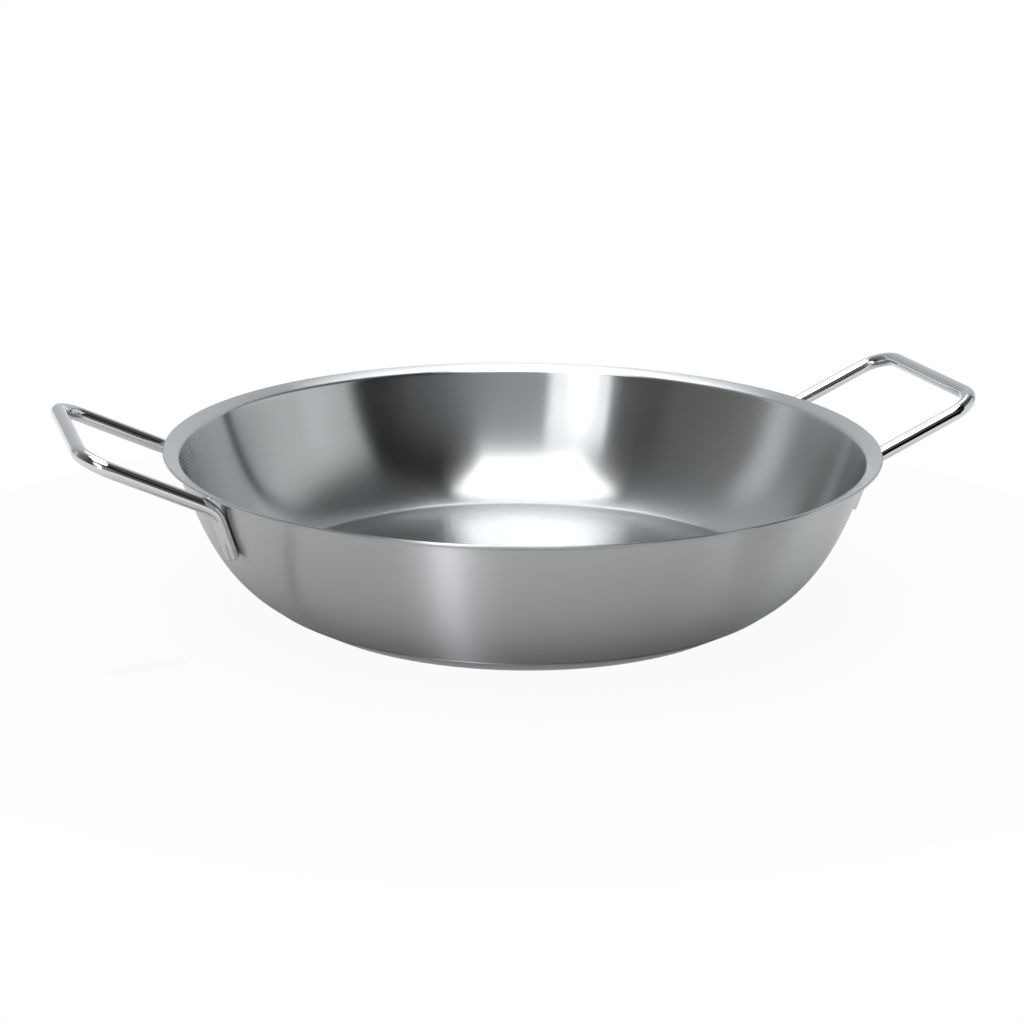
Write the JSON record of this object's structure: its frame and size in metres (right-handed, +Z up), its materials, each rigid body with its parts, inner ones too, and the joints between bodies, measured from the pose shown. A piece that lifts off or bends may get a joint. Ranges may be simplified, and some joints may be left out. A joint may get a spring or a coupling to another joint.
{
  "type": "two-handled pan",
  "caption": "Low round stainless-steel cooking and serving pan with a flared pouring rim, an encapsulated flat base and rod loop handles welded to its wall.",
  "frame": {"origin": "centre of the base's underside, on the surface that the pan stands on", "axes": "+X through the middle of the right handle, +Z up along the bowl's axis, +Y to the back"},
  "size_m": [0.3742, 0.293, 0.0842],
  "materials": {
    "bowl_steel": "stainless steel, brushed round the bowl to a satin finish",
    "capsule_steel": "stainless steel, turned underside with fine concentric lines",
    "core_aluminium": "plain rolled aluminium",
    "handle_steel": "stainless-steel rod, mirror-polished"
  },
  "bodies": {
    "root": {"pan_body": "bowl_steel", "base_capsule": "capsule_steel", "base_core": "core_aluminium", "left_handle": "handle_steel", "right_handle": "handle_steel"}
  },
  "joints": []
}
